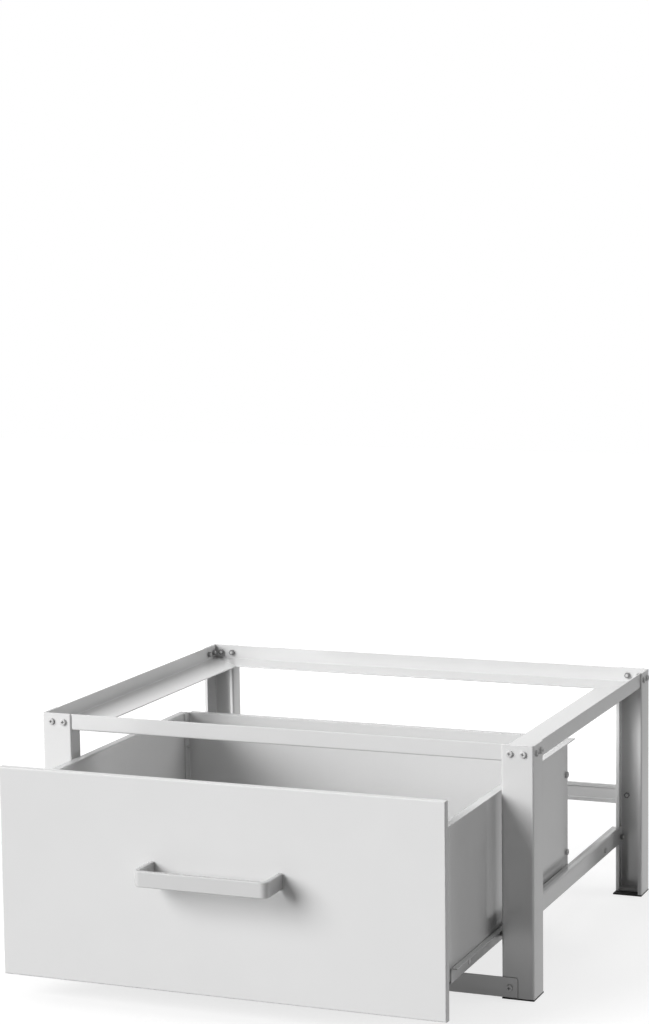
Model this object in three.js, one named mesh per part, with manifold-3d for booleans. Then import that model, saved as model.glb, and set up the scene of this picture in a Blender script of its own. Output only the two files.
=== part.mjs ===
// A pedestal with a drawer: a bolted frame of folded steel that carries a load on its rim,
// and a steel drawer that runs out of its front on nylon rollers.
// Millimetres. X to the right, Y to the back, Z up. The drawer stands part open, and the
// origin is on the floor, under the middle of the whole open object.

import * as THREE from 'three';
import { mergeVertices } from 'three/addons/utils/BufferGeometryUtils.js';
import Module from 'manifold-3d';

const wasm = await Module();
wasm.setup();

// ---- Driving dimensions ------------------------------------------------------------------

// Frame
const frameWidth = 630;          // over the outer faces of the legs
const frameDepth = 515;          // over the webs of the front and rear legs
const frameHeight = 300;         // floor to the top of the rim
const frameSheet = 1.5;          // steel sheet of the frame
const bendRadius = 1;            // inside radius of every fold
const gap = 0.3;                 // between parts that touch

const legWeb = 39;               // width of a leg's front or rear face
const legOuterFlange = 38;       // depth of its outer face
const legInnerFlange = 25;       // depth of its face beside the drawer
const legLip = 5;                // stiffening lip on both flanges
const padThickness = 1.7;        // rubber under the foot
const rimHeight = 20;            // rail wall that stands around the load and keeps it in place
const seatWidth = 55;            // ledge that the load stands on

const footRailHeight = 24.5;     // front rail at the floor
const footRailFlange = 12;
const crossRailHeight = 25;      // rail across the back
const crossRailBottom = 115;     // its lower edge above the floor
const crossRailHem = 5;          // edge folded back flat on itself
const tabOverlap = 19.5;         // how far a rail's tab lies over a leg's web
const tabRadius = 3;

const sideRailBottom = 64;       // rail that carries the slide, front leg to rear leg
const sideRailFlange = 6;

// Drawer
const drawerSheet = 1.2;
const drawerOpen = 187;          // how far out the drawer stands here
const drawerReach = 193;         // how much further it still comes out
const sideGap = 2.6;             // between the drawer's front and the legs
const footGap = 1.5;             // between the drawer's front and the foot rail
const rimGap = 5.3;              // between the drawer's front and the rim
const frontFold = 9;             // depth of the front's folded edges
const frontRadius = 2;           // outside radius of those folds
const slideSpace = 12.5;         // between the leg and the drawer's side
const drawerRearGap = 18;        // from its back to the rear legs' faces when it is closed
const drawerDrop = 4;            // lower edge of its sides below the slides'
const drawerStep = 30;           // top of its sides below the front's top edge
const sideLip = 10;
const sideFoot = 12;             // flange under the bottom plate, and behind the front
const backFlange = 14;           // flange of the back beside each side
const backLip = 8;
const floorTurnUp = 8;           // front and rear edges of the bottom plate

// Slides
const slideSheet = 1.2;
const slideFlange = 8;
const slideSetback = 2;          // slide's front end behind the closed drawer's front
const slideRearInset = 6.5;
const slideScrewRise = 8;        // its screws and studs above its lower edge
const slideStudInset = 87;       // studs into the side rail, from the legs' faces
const studRadius = 2;
const studHeadRadius = 3.6;
const studHeadThickness = 1.6;
const stopThickness = 1.5;       // turned-in tabs that stop the drawer's rollers
const runnerRise = 13;           // top of the drawer's runner above the slide's lower edge
const runnerFlange = 7;
const runnerFoot = 9;
const runnerFrontInset = 41;     // runner's front end behind the drawer's face
const runnerRearInset = 3;       // runner's rear end before the drawer's back
const rivetInset = 61;           // first rivet behind the runner's front end
const rivetCount = 3;
const rivetRadius = 1.6;
const rivetHeadRadius = 3;
const rivetHeadThickness = 1;
const earMargin = 13;            // sheet beyond an axle
const earDepth = 6;              // and below or above the sheet's edge there

// Rollers
const rollerRadius = 8.5;
const rollerWidth = 7.2;
const rollerPlay = 0.8;          // height that the slide leaves over a roller
const rollerBevel = 0.8;
const rollerRecess = 1.4;        // for the axle's head
const rollerRecessRadius = 4.2;
const axleRadius = 2;
const axleHeadRadius = 3.5;
const frameRollerInset = 53;     // axle behind the front legs' face
const drawerRollerInset = 13;    // axle before the drawer's back

// Handle
const handleLength = 164;
const handleReach = 46;
const handleHeight = 18.5;
const handleThickness = 6;
const handleCorner = 9;          // outside radius of its corners
const handleEdge = 1.5;          // rounding of its long edges
const handleDrop = 104.7;        // its middle below the front's top edge
const handleScrewRadius = 1.9;
const handleScrewDepth = 12;     // how far the screw goes into the handle

// Screws
const screwRadius = 2;
const holeClearance = 0.3;
const screwHeadRadius = 4;
const screwHeadHeight = 2.4;
const flatHeadRadius = 3.2;      // of the screws inside the slides
const flatHeadHeight = 1.4;
const nutRadius = 4;
const nutHeight = 3;
const screwTail = 1;             // thread beyond the nut or sheet
const cornerScrewInset = 12.5;   // rim screws from the frame's corner
const cornerScrewPitch = 16;
const slideScrewFrontInset = 16; // screws through slide, leg and side rail
const slideScrewRearInset = 10.5;
const backScrewInset = 6;        // before the drawer's back
const backScrewLow = 99;
const backScrewHigh = 198.5;

// ---- Places worked out from them ---------------------------------------------------------

const halfWidth = frameWidth / 2;
const halfDepth = frameDepth / 2;
const legBottom = padThickness + gap;
const legInnerFace = halfWidth - legWeb;                 // leg's face beside the drawer
const rimBottom = frameHeight - rimHeight;
const wallX = halfWidth - frameSheet - gap;              // outer face of a side rim rail
const wallY = halfDepth - frameSheet - gap;              // outer face of a front or rear one
const tabEnd = legInnerFace + tabOverlap;
const sideRailFace = legInnerFace + 2 * frameSheet + gap;
const slideBottom = sideRailBottom;
const slideTop = slideBottom + 2 * slideSheet + 2 * rollerRadius + rollerPlay;
const sideRailTop = slideTop + gap + frameSheet;         // its flange lies over the slide

const frontHalf = legInnerFace - sideGap;
const frontBottom = legBottom + footRailHeight + footGap;
const frontTop = rimBottom - rimGap;
const frontFace = -halfDepth - drawerOpen;
const frontInside = frontFace + drawerSheet + gap;       // where the sides begin
const drawerBack = halfDepth - drawerRearGap - drawerOpen;
const drawerBottom = slideBottom - drawerDrop;
const drawerTop = frontTop - drawerStep;
const sideFace = legInnerFace - slideSpace;              // outer face of the drawer's side
const sideInside = sideFace - drawerSheet;
const floorBottom = drawerBottom + drawerSheet + gap;
const backHalf = sideInside - gap;
const floorHalf = backHalf - drawerSheet - gap - bendRadius;

const slideFace = legInnerFace - gap;                    // back of the fixed slide
const slideInside = slideFace - slideSheet;
const slideTip = slideInside - slideFlange;
const slideFront = -halfDepth + frontFold + slideSetback;
const slideRear = halfDepth - slideRearInset;
const slideScrewZ = slideBottom + slideScrewRise;

const runnerInside = sideFace + gap;                     // runner's face on the drawer's side
const runnerFace = runnerInside + slideSheet;
const runnerTop = slideBottom + runnerRise;
const runnerBottom = drawerBottom - gap - slideSheet;
const runnerMiddle = (runnerBottom + runnerTop) / 2;
const runnerFront = frontFace + runnerFrontInset;
const runnerRear = drawerBack - runnerRearInset;

const frameRollerY = -halfDepth + frameRollerInset;
const frameRollerZ = runnerTop - slideSheet - gap - rollerRadius;
const drawerRollerY = drawerBack - drawerRollerInset;
const drawerRollerZ = slideBottom + slideSheet + gap + rollerRadius;

const handleZ = frontTop - handleDrop;
const handleScrewX = (handleLength - handleThickness) / 2;

const rimScrewZ = frameHeight - rimHeight / 2;
const footScrewZ = legBottom + footRailHeight / 2;
const crossScrewZ = crossRailBottom + crossRailHeight / 2;
const tabScrewX = legInnerFace + tabOverlap / 2;
const webScrewXs = [halfWidth - cornerScrewInset, halfWidth - cornerScrewInset - cornerScrewPitch];
const sideScrewYs = [halfDepth - cornerScrewInset, halfDepth - cornerScrewInset - cornerScrewPitch];
const slideScrewYs = [-halfDepth + slideScrewFrontInset, halfDepth - slideScrewRearInset];
const slideStudYs = [-halfDepth + slideStudInset, halfDepth - slideStudInset];
const backScrewZs = [backScrewLow, backScrewHigh];
const backScrewY = drawerBack - backScrewInset;

// ---- Geometry tools ----------------------------------------------------------------------

const holeReach = 5 * (frameSheet + gap);                // how far a hole is cut each way
const roundSides = 10;

// Solid for joining and cutting, from a closed geometry.
function toSolid(geometry) {
  const bare = geometry.clone();
  bare.deleteAttribute('normal');
  bare.deleteAttribute('uv');
  const merged = mergeVertices(bare, 1e-4);
  const vertProperties = new Float32Array(merged.attributes.position.array);
  const triVerts = new Uint32Array(merged.index.array);
  return new wasm.Manifold(new wasm.Mesh({ numProp: 3, vertProperties, triVerts }));
}

function toGeometry(solid) {
  const mesh = solid.getMesh();
  const geometry = new THREE.BufferGeometry();
  geometry.setAttribute('position', new THREE.BufferAttribute(new Float32Array(mesh.vertProperties), 3));
  geometry.setIndex(new THREE.BufferAttribute(new Uint32Array(mesh.triVerts), 1));
  return geometry;
}

function join(...geometries) {
  return toGeometry(geometries.map(toSolid).reduce((whole, solid) => whole.add(solid)));
}

function cut(geometry, ...tools) {
  return toGeometry(tools.map(toSolid).reduce((left, tool) => left.subtract(tool), toSolid(geometry)));
}

function common(one, other) {
  return toGeometry(toSolid(one).intersect(toSolid(other)));
}

// Copy on the other side of the middle plane: axis 0 swaps left and right, 1 front and back.
function mirrored(geometry, axis) {
  const copy = geometry.index ? geometry.toNonIndexed() : geometry.clone();
  copy.deleteAttribute('normal');
  copy.deleteAttribute('uv');
  const points = copy.attributes.position;
  for (let i = 0; i < points.count; i += 3) {
    const corners = [0, 2, 1].map((k) => new THREE.Vector3().fromBufferAttribute(points, i + k));
    corners.forEach((corner, k) => {
      corner.setComponent(axis, -corner.getComponent(axis));
      points.setXYZ(i + k, corner.x, corner.y, corner.z);
    });
  }
  return mergeVertices(copy, 1e-4);
}

// Block between two corners.
function block(x0, x1, y0, y1, z0, z1) {
  const geometry = new THREE.BoxGeometry(x1 - x0, y1 - y0, z1 - z0);
  return geometry.translate((x0 + x1) / 2, (y0 + y1) / 2, (z0 + z1) / 2);
}

// A shape drawn in (Y, Z) and drawn out along X, in (-X, Z) along Y, or in (X, Y) along Z.
const extrudeBases = {
  x: new THREE.Matrix4().makeBasis(
    new THREE.Vector3(0, 1, 0), new THREE.Vector3(0, 0, 1), new THREE.Vector3(1, 0, 0)),
  y: new THREE.Matrix4().makeBasis(
    new THREE.Vector3(-1, 0, 0), new THREE.Vector3(0, 0, 1), new THREE.Vector3(0, 1, 0)),
  z: new THREE.Matrix4(),
};

function extrude(shape, axis, from, to) {
  const options = { depth: to - from, bevelEnabled: false, curveSegments: 4 };
  const geometry = new THREE.ExtrudeGeometry(shape, options);
  return geometry.translate(0, 0, from).applyMatrix4(extrudeBases[axis]);
}

function polygon(points) {
  return new THREE.Shape(points.map(([x, y]) => new THREE.Vector2(x, y)));
}

// Rod along X or Y, from and to being its ends on that axis.
function rod(axis, radius, from, to, [x, y, z]) {
  const geometry = new THREE.CylinderGeometry(radius, radius, Math.abs(to - from), roundSides);
  if (axis === 'x') geometry.rotateZ(Math.PI / 2);
  const middle = (from + to) / 2;
  return geometry.translate(axis === 'x' ? middle : x, axis === 'y' ? middle : y, z);
}

// Hole for a screw through the sheets around a point.
function screwHole(axis, [x, y, z], radius = screwRadius) {
  const at = axis === 'x' ? x : y;
  return rod(axis, radius + holeClearance, at - holeReach, at + holeReach, [x, y, z]);
}

// Points of a path with its square corners rounded, each by its own radius.
function roundedPoints(corners, radii) {
  const steps = 3;
  return corners.flatMap(([x, y], i) => {
    const corner = new THREE.Vector2(x, y);
    if (!radii[i]) return [corner];
    const start = new THREE.Vector2(...corners[i - 1]).sub(corner).setLength(radii[i]).add(corner);
    const end = new THREE.Vector2(...corners[i + 1]).sub(corner).setLength(radii[i]).add(corner);
    const centre = start.clone().add(end).sub(corner);
    return Array.from({ length: steps + 1 }, (_, step) => {
      const angle = (step / steps) * (Math.PI / 2);
      const point = centre.clone();
      point.addScaledVector(start.clone().sub(centre), Math.cos(angle));
      point.addScaledVector(end.clone().sub(centre), Math.sin(angle));
      return point;
    });
  });
}

// Section of sheet with square bends. The corners are its right-hand face, and its thickness
// lies to the left of the way they run.
function sheetSection(corners, thickness) {
  const last = corners.length - 1;
  const directions = corners.slice(1).map(([x, y], i) => {
    return new THREE.Vector2(x - corners[i][0], y - corners[i][1]).normalize();
  });
  const turns = corners.map((_, i) => (i === 0 || i === last ? 0 : directions[i - 1].cross(directions[i])));
  const leftCorners = corners.map(([x, y], i) => {
    const ways = directions.slice(Math.max(i - 1, 0), i + 1);
    return ways.reduce(([px, py], way) => [px - way.y * thickness, py + way.x * thickness], [x, y]);
  });
  const outside = bendRadius + thickness;
  const right = roundedPoints(corners, turns.map((turn) => [bendRadius, 0, outside][Math.sign(turn) + 1]));
  const left = roundedPoints(leftCorners, turns.map((turn) => [outside, 0, bendRadius][Math.sign(turn) + 1]));
  return new THREE.Shape([...right, ...left.reverse()]);
}

// ---- Screws and rollers ------------------------------------------------------------------

const toBack = new THREE.Vector3(0, 1, 0);
const toFront = new THREE.Vector3(0, -1, 0);
const toRight = new THREE.Vector3(1, 0, 0);
const toLeft = new THREE.Vector3(-1, 0, 0);

// A turned part stands on +Y at zero. This points that axis along a direction from a place.
function placed(geometry, direction, place) {
  const turn = new THREE.Quaternion().setFromUnitVectors(toBack, direction);
  return geometry.clone().applyQuaternion(turn).translate(...place);
}

// Pan head screw with its seat at zero, the shank running on through its grip.
function panScrew(grip, tail, radius = screwRadius, head = [screwHeadRadius, screwHeadHeight]) {
  const [headRadius, headHeight] = head;
  const profile = [
    [0, -headHeight], [headRadius * 0.7, -headHeight * 0.85], [headRadius, -headHeight * 0.25],
    [headRadius, 0], [radius, 0], [radius, grip + tail], [0, grip + tail],
  ];
  return new THREE.LatheGeometry(profile.map(([r, h]) => new THREE.Vector2(r, h)), roundSides);
}

// The same screw with its nut drawn up at the end of the grip.
function boltedScrew(grip, head) {
  const nut = new THREE.CylinderGeometry(nutRadius, nutRadius, nutHeight, 6);
  nut.translate(0, grip + nutHeight / 2, 0);
  return join(panScrew(grip, nutHeight + screwTail, screwRadius, head), nut);
}

// Nylon roller turned about +Y, its recess for the axle's head at the far side.
function roller() {
  const bore = axleRadius + holeClearance;
  const profile = [
    [bore, 0], [rollerRadius - rollerBevel, 0], [rollerRadius, rollerBevel],
    [rollerRadius, rollerWidth - rollerBevel], [rollerRadius - rollerBevel, rollerWidth],
    [rollerRecessRadius, rollerWidth], [rollerRecessRadius, rollerWidth - rollerRecess],
    [bore, rollerWidth - rollerRecess], [bore, 0],
  ];
  return new THREE.LatheGeometry(profile.map(([r, h]) => new THREE.Vector2(r, h)), 2 * roundSides);
}

// Axle staked into a sheet at x, running along X past its roller to a flush head.
function axle(x, towards, [y, z]) {
  const rollerEnd = x + towards * (gap + rollerWidth);
  const headStart = rollerEnd - towards * (rollerRecess - gap);
  const pin = rod('x', axleRadius, x - towards * slideSheet / 2, headStart + towards * gap, [0, y, z]);
  return join(pin, rod('x', axleHeadRadius, headStart, rollerEnd, [0, y, z]));
}

// ---- Frame, right-hand pieces ------------------------------------------------------------

// Leg at the back right: a lipped channel, its web to the back, a plate folded in at the foot.
function legChannel() {
  const outerEnd = halfDepth - legOuterFlange;
  const innerEnd = halfDepth - legInnerFlange;
  const section = sheetSection([
    [halfWidth - legLip, outerEnd], [halfWidth, outerEnd], [halfWidth, halfDepth],
    [legInnerFace, halfDepth], [legInnerFace, innerEnd], [legInnerFace + legLip, innerEnd],
  ], frameSheet);
  const footPlate = block(
    legInnerFace + frameSheet + gap, halfWidth - frameSheet - gap,
    innerEnd + frameSheet + gap, halfDepth - frameSheet / 2, legBottom, legBottom + frameSheet);
  // Above the rim's underside only the web and the outer flange go on, so the rails pass.
  const rimNotch = block(
    legInnerFace - gap, halfWidth - frameSheet, outerEnd - gap, halfDepth - frameSheet,
    rimBottom - gap, frameHeight + gap);
  // The side rail runs through the inner lip.
  const lipNotch = block(
    legInnerFace + frameSheet, legInnerFace + legLip + gap,
    innerEnd - gap, innerEnd + frameSheet + bendRadius,
    sideRailBottom - gap, sideRailTop + gap);
  const holes = [
    ...webScrewXs.map((x) => screwHole('y', [x, halfDepth, rimScrewZ])),
    ...sideScrewYs.map((y) => screwHole('x', [halfWidth, y, rimScrewZ])),
  ];
  return cut(join(extrude(section, 'z', legBottom, frameHeight), footPlate), rimNotch, lipNotch, ...holes);
}

function rearLeg() {
  return cut(legChannel(), screwHole('y', [tabScrewX, halfDepth, crossScrewZ]),
    screwHole('x', [legInnerFace, slideScrewYs[1], slideScrewZ]));
}

function frontLeg() {
  return cut(mirrored(legChannel(), 1), screwHole('y', [tabScrewX, -halfDepth, footScrewZ]),
    screwHole('x', [legInnerFace, slideScrewYs[0], slideScrewZ]));
}

function footPad() {
  return block(legInnerFace, halfWidth, halfDepth - legOuterFlange, halfDepth, 0, padThickness);
}

// The rim's rails are angles: a wall around the load and a ledge under it. The
// ledges meet on a mitre that starts where the walls' inner faces meet.
function mitreWedge(corners) {
  const [x0, y0] = [wallX - frameSheet, wallY - frameSheet];
  const shape = polygon(corners.map(([inX, inY]) => [x0 - inX, y0 - inY]));
  return extrude(shape, 'z', rimBottom - gap, rimBottom + frameSheet + bendRadius + gap);
}

// Rim rail across the back, its wall to the back.
function rimRailAcross() {
  const section = sheetSection([
    [wallY - seatWidth, rimBottom], [wallY, rimBottom], [wallY, frameHeight],
  ], frameSheet);
  const end = wallX - frameSheet - gap;
  const wedge = mitreWedge([[gap, 0], [seatWidth, seatWidth - gap], [-gap, seatWidth - gap], [-gap, 0]]);
  const holes = webScrewXs.flatMap((x) => [x, -x]).map((x) => screwHole('y', [x, wallY, rimScrewZ]));
  return cut(extrude(section, 'x', -end, end), wedge, mirrored(wedge, 0), ...holes);
}

// Rim rail along the right side, its wall to the right.
function rimRailAlong() {
  const section = sheetSection([
    [-wallX, frameHeight], [-wallX, rimBottom], [seatWidth - wallX, rimBottom],
  ], frameSheet);
  const past = -frameSheet - gap;
  const wedge = mitreWedge([[0, past], [0, gap], [seatWidth, seatWidth + gap], [seatWidth, past]]);
  const holes = sideScrewYs.flatMap((y) => [y, -y]).map((y) => screwHole('x', [wallX, y, rimScrewZ]));
  return cut(extrude(section, 'y', -wallY, wallY), wedge, mirrored(wedge, 1), ...holes);
}

// Foot rail: an angle across the front, its wall lying over the legs' webs as two tabs.
function footRail() {
  const face = -halfDepth - gap - frameSheet;
  const top = legBottom + footRailHeight;
  const section = sheetSection([
    [face, top], [face, legBottom], [face + footRailFlange, legBottom],
  ], frameSheet);
  const notch = block(legInnerFace - gap, tabEnd + gap, face + frameSheet, face + footRailFlange + gap,
    legBottom - gap, top + gap);
  // What the tab's top corner loses to its radius.
  const corner = new THREE.Shape();
  corner.moveTo(tabEnd - tabRadius, top + gap);
  corner.lineTo(tabEnd - tabRadius, top);
  corner.absarc(tabEnd - tabRadius, top - tabRadius, tabRadius, Math.PI / 2, 0, true);
  corner.lineTo(tabEnd + gap, top - tabRadius);
  corner.lineTo(tabEnd + gap, top + gap);
  const round = extrude(corner, 'z', -holeReach, holeReach).rotateX(Math.PI / 2).translate(0, face, 0);
  const hole = screwHole('y', [tabScrewX, face, footScrewZ]);
  const tools = [notch, round, hole];
  return cut(extrude(section, 'x', -tabEnd, tabEnd), ...tools, ...tools.map((tool) => mirrored(tool, 0)));
}

// Cross rail behind the rear legs: a strip with both long edges folded flat.
function crossRail() {
  const front = halfDepth + gap;
  const top = crossRailBottom + crossRailHeight;
  const hemEnd = legInnerFace - 2 * gap;
  const hem = (from, to) => block(-hemEnd, hemEnd, front - frameSheet, front + frameSheet / 2, from, to);
  const strip = join(block(-tabEnd, tabEnd, front, front + frameSheet, crossRailBottom, top),
    hem(crossRailBottom, crossRailBottom + crossRailHem), hem(top - crossRailHem, top));
  const hole = screwHole('y', [tabScrewX, front, crossScrewZ]);
  return cut(strip, hole, mirrored(hole, 0));
}

// Side rail on the right: its wall runs inside the legs' channels, and its flange reaches
// over the slide and is cut back where the legs' inner flanges stand.
function sideRail() {
  const section = sheetSection([
    [sideRailFlange - sideRailFace, sideRailTop], [-sideRailFace, sideRailTop],
    [-sideRailFace, sideRailBottom],
  ], frameSheet);
  const end = halfDepth - frameSheet - bendRadius - gap;
  const notch = block(
    sideRailFace - sideRailFlange - gap, legInnerFace + frameSheet + gap,
    halfDepth - legInnerFlange - gap, end + gap, sideRailBottom - gap, sideRailTop + gap);
  const holes = [...slideScrewYs, ...slideStudYs].map((y) => screwHole('x', [sideRailFace, y, slideScrewZ]));
  return cut(extrude(section, 'y', -end, end), notch, mirrored(notch, 1), ...holes);
}

// ---- Slide, runner and rollers, right-hand pieces ----------------------------------------

// Fixed half of the slide: a channel for the drawer's roller, open at the front, where a
// deeper ear of its web carries the frame's roller. Studs rivet it to the side rail.
function slideChannel() {
  const section = sheetSection([
    [-slideTip, slideTop], [-slideFace, slideTop], [-slideFace, slideBottom], [-slideTip, slideBottom],
  ], slideSheet);
  const earEnd = frameRollerY + earMargin;
  const channel = extrude(section, 'y', earEnd, slideRear);
  const ear = block(slideInside, slideFace, slideFront, earEnd + gap, slideBottom, slideTop);
  const earLow = block(slideInside, slideFace, frameRollerY - earMargin, earEnd,
    slideBottom - earDepth, slideBottom + gap);
  // A stop reaches up to just under the runner's track.
  const stop = (y) => block(slideTip, slideInside + gap, y - stopThickness / 2, y + stopThickness / 2,
    slideBottom + slideSheet / 2, runnerTop - slideSheet - 2 * gap);
  const stopReach = rollerRadius + gap + stopThickness / 2;
  const studs = slideStudYs.flatMap((y) => [
    rod('x', studRadius, slideInside + gap, sideRailFace + 2 * gap, [0, y, slideScrewZ]),
    rod('x', studHeadRadius, sideRailFace + gap, sideRailFace + gap + studHeadThickness, [0, y, slideScrewZ]),
  ]);
  const whole = join(channel, ear, earLow, axle(slideInside, -1, [frameRollerY, frameRollerZ]), ...studs,
    stop(drawerRollerY - drawerReach - stopReach), stop(drawerRollerY + drawerOpen + stopReach));
  return cut(whole, ...slideScrewYs.map((y) => screwHole('x', [slideInside, y, slideScrewZ])));
}

// Moving half: it wraps the drawer's lower edge, and its upper flange rides on the frame's
// roller. At the back the flange stops and an ear carries the drawer's own roller.
function drawerRunner() {
  const section = sheetSection([
    [-runnerFace - runnerFlange, runnerTop - slideSheet], [-runnerFace, runnerTop - slideSheet],
    [-runnerFace, runnerBottom], [runnerFoot - runnerFace, runnerBottom],
  ], slideSheet);
  const earStart = drawerRollerY - earMargin;
  const notch = block(runnerFace, runnerFace + runnerFlange + gap, earStart, runnerRear + gap,
    runnerTop - slideSheet - bendRadius - gap, runnerTop + gap);
  const ear = block(runnerInside, runnerFace, earStart, runnerRear, runnerMiddle, runnerTop + earDepth);
  const track = join(cut(extrude(section, 'y', runnerFront, runnerRear), notch), ear);
  const rivets = rivetYs().flatMap((y) => [
    rod('x', rivetRadius, sideInside - 2 * gap, runnerFace, [0, y, runnerMiddle]),
    rod('x', rivetHeadRadius, runnerFace - gap, runnerFace + rivetHeadThickness, [0, y, runnerMiddle]),
    rod('x', rivetHeadRadius, sideInside - gap - rivetHeadThickness, sideInside - gap, [0, y, runnerMiddle]),
  ]);
  return join(track, axle(runnerFace, 1, [drawerRollerY, drawerRollerZ]), ...rivets);
}

function rivetYs() {
  const first = runnerFront + rivetInset;
  const last = drawerRollerY - earMargin - rivetInset;
  return Array.from({ length: rivetCount }, (_, i) => first + (i * (last - first)) / (rivetCount - 1));
}

function frameRoller() {
  return placed(roller(), toLeft, [slideInside - gap, frameRollerY, frameRollerZ]);
}

function drawerRoller() {
  return placed(roller(), toRight, [runnerFace + gap, drawerRollerY, drawerRollerZ]);
}

// ---- Drawer ------------------------------------------------------------------------------

// Box with rounded folds between its front face and its four edges, open at the back.
function roundedFront(inset, radius, back) {
  const [half, face] = [frontHalf - inset, frontFace + inset];
  const [low, high] = [frontBottom + inset, frontTop - inset];
  const radii = [0, radius, radius, 0];
  const across = [[half, back], [half, face], [-half, face], [-half, back]];
  const upright = [[back, low], [face, low], [face, high], [back, high]];
  const plan = new THREE.Shape(roundedPoints(across, radii));
  const side = new THREE.Shape(roundedPoints(upright, radii));
  return common(extrude(plan, 'z', low, high), extrude(side, 'x', -half, half));
}

// Front: a pan of folded sheet, closed at its face.
function drawerFront() {
  const back = frontFace + frontFold;
  const inside = roundedFront(drawerSheet, frontRadius - drawerSheet, back + gap);
  const pan = cut(roundedFront(0, frontRadius, back), inside);
  const hole = rod('y', handleScrewRadius + holeClearance, frontFace - gap, frontFace + drawerSheet + gap,
    [handleScrewX, 0, handleZ]);
  return cut(pan, hole, mirrored(hole, 0));
}

// Right side: lip outwards at the top, foot inwards under the bottom plate, and a flange
// behind the front.
function drawerSide() {
  const lipUnder = drawerTop - drawerSheet;
  const section = sheetSection([
    [-sideFace - sideLip, lipUnder], [-sideFace, lipUnder], [-sideFace, drawerBottom],
    [sideFoot - sideFace, drawerBottom],
  ], drawerSheet);
  const flange = block(sideFace - sideFoot, sideFace - drawerSheet / 2,
    frontInside, frontInside + drawerSheet, drawerBottom + drawerSheet / 2, lipUnder - bendRadius);
  // The lip stops behind the front's folded edge.
  const lipNotch = block(sideFace + bendRadius, sideFace + sideLip + gap, frontInside - gap,
    frontFace + frontFold + gap, lipUnder - bendRadius, drawerTop + gap);
  const holes = [
    ...backScrewZs.map((z) => screwHole('x', [sideFace, backScrewY, z])),
    ...rivetYs().map((y) => screwHole('x', [sideFace, y, runnerMiddle], rivetRadius)),
  ];
  return cut(join(extrude(section, 'y', frontInside, drawerBack), flange), lipNotch, ...holes);
}

// Back: a plate with flanges along the sides and a lip at the top.
function drawerBackPanel() {
  const flangeFront = drawerBack - backFlange;
  const section = sheetSection([
    [backHalf, flangeFront], [backHalf, drawerBack], [-backHalf, drawerBack], [-backHalf, flangeFront],
  ], drawerSheet);
  const lipHalf = backHalf - bendRadius - drawerSheet;
  const lip = block(-lipHalf, lipHalf, drawerBack - drawerSheet, drawerBack + backLip,
    drawerTop - drawerSheet, drawerTop);
  const holes = backScrewZs.map((z) => screwHole('x', [backHalf, backScrewY, z]));
  return cut(join(extrude(section, 'z', floorBottom, drawerTop), lip), ...holes,
    ...holes.map((hole) => mirrored(hole, 0)));
}

// Bottom plate on the sides' feet, with turned-up front and rear edges.
function drawerFloor() {
  const front = frontInside + drawerSheet + gap;
  const rear = drawerBack - drawerSheet - gap;
  const edgeTop = floorBottom + floorTurnUp;
  const section = sheetSection([
    [front, edgeTop], [front, floorBottom], [rear, floorBottom], [rear, edgeTop],
  ], drawerSheet);
  return extrude(section, 'x', -floorHalf, floorHalf);
}

// Handle: a flat bow with round corners and rounded long edges, screwed on from inside.
function handle() {
  const seat = frontFace - gap;
  const reach = frontFace - handleReach;
  const outline = (inset, radius) => {
    const half = handleLength / 2 - inset;
    const ends = seat + 2 * handleEdge;
    const corners = [[-half, ends], [-half, reach + inset], [half, reach + inset], [half, ends]];
    return roundedPoints(corners, [0, radius, radius, 0]);
  };
  const shape = new THREE.Shape([
    ...outline(0, handleCorner), ...outline(handleThickness, handleCorner - handleThickness).reverse(),
  ]);
  const bow = new THREE.ExtrudeGeometry(shape, {
    depth: handleHeight - 2 * handleEdge, bevelEnabled: true, bevelThickness: handleEdge,
    bevelSize: handleEdge, bevelOffset: -handleEdge, bevelSegments: 2,
  });
  bow.translate(0, 0, handleZ - handleHeight / 2 + handleEdge);
  const flush = block(-handleLength, handleLength, seat, seat + 4 * handleEdge,
    handleZ - handleHeight, handleZ + handleHeight);
  const hole = rod('y', handleScrewRadius + holeClearance, seat - handleScrewDepth - gap, seat + gap,
    [handleScrewX, 0, handleZ]);
  return cut(bow, flush, hole, mirrored(hole, 0));
}

// ---- Materials ---------------------------------------------------------------------------

const paint = { roughness: 0.35, metalness: 0 };
const finishes = {
  frame: { color: 0xe4e4e5, ...paint },
  front: { color: 0xe2e2e3, ...paint },
  box: { color: 0xdedee0, ...paint },
  handle: { color: 0xd6d6d8, roughness: 0.4, metalness: 0 },
  rubber: { color: 0x232325, roughness: 0.85, metalness: 0 },
  nylon: { color: 0xf1f0ec, roughness: 0.5, metalness: 0 },
  screw: { color: 0xc9cacc, roughness: 0.3, metalness: 1 },
};

const pedestal = new THREE.Group();

function add(name, finish, geometry) {
  const material = new THREE.MeshStandardMaterial({ ...finishes[finish], flatShading: true });
  const mesh = new THREE.Mesh(geometry, material);
  mesh.name = name;
  pedestal.add(mesh);
}

// A right-hand piece and its mirror image.
function addPair(name, finish, geometry) {
  add(`${name}_right`, finish, geometry);
  add(`${name}_left`, finish, mirrored(geometry, 0));
}

// ---- Assembly ----------------------------------------------------------------------------

addPair('leg_rear', 'frame', rearLeg());
addPair('leg_front', 'frame', frontLeg());
addPair('foot_pad_rear', 'rubber', footPad());
addPair('foot_pad_front', 'rubber', mirrored(footPad(), 1));

add('rim_rail_rear', 'frame', rimRailAcross());
add('rim_rail_front', 'frame', mirrored(rimRailAcross(), 1));
addPair('rim_rail', 'frame', rimRailAlong());
add('foot_rail_front', 'frame', footRail());
add('cross_rail_rear', 'frame', crossRail());
addPair('side_rail', 'frame', sideRail());
addPair('slide', 'box', slideChannel());
addPair('slide_roller', 'nylon', frameRoller());

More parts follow.
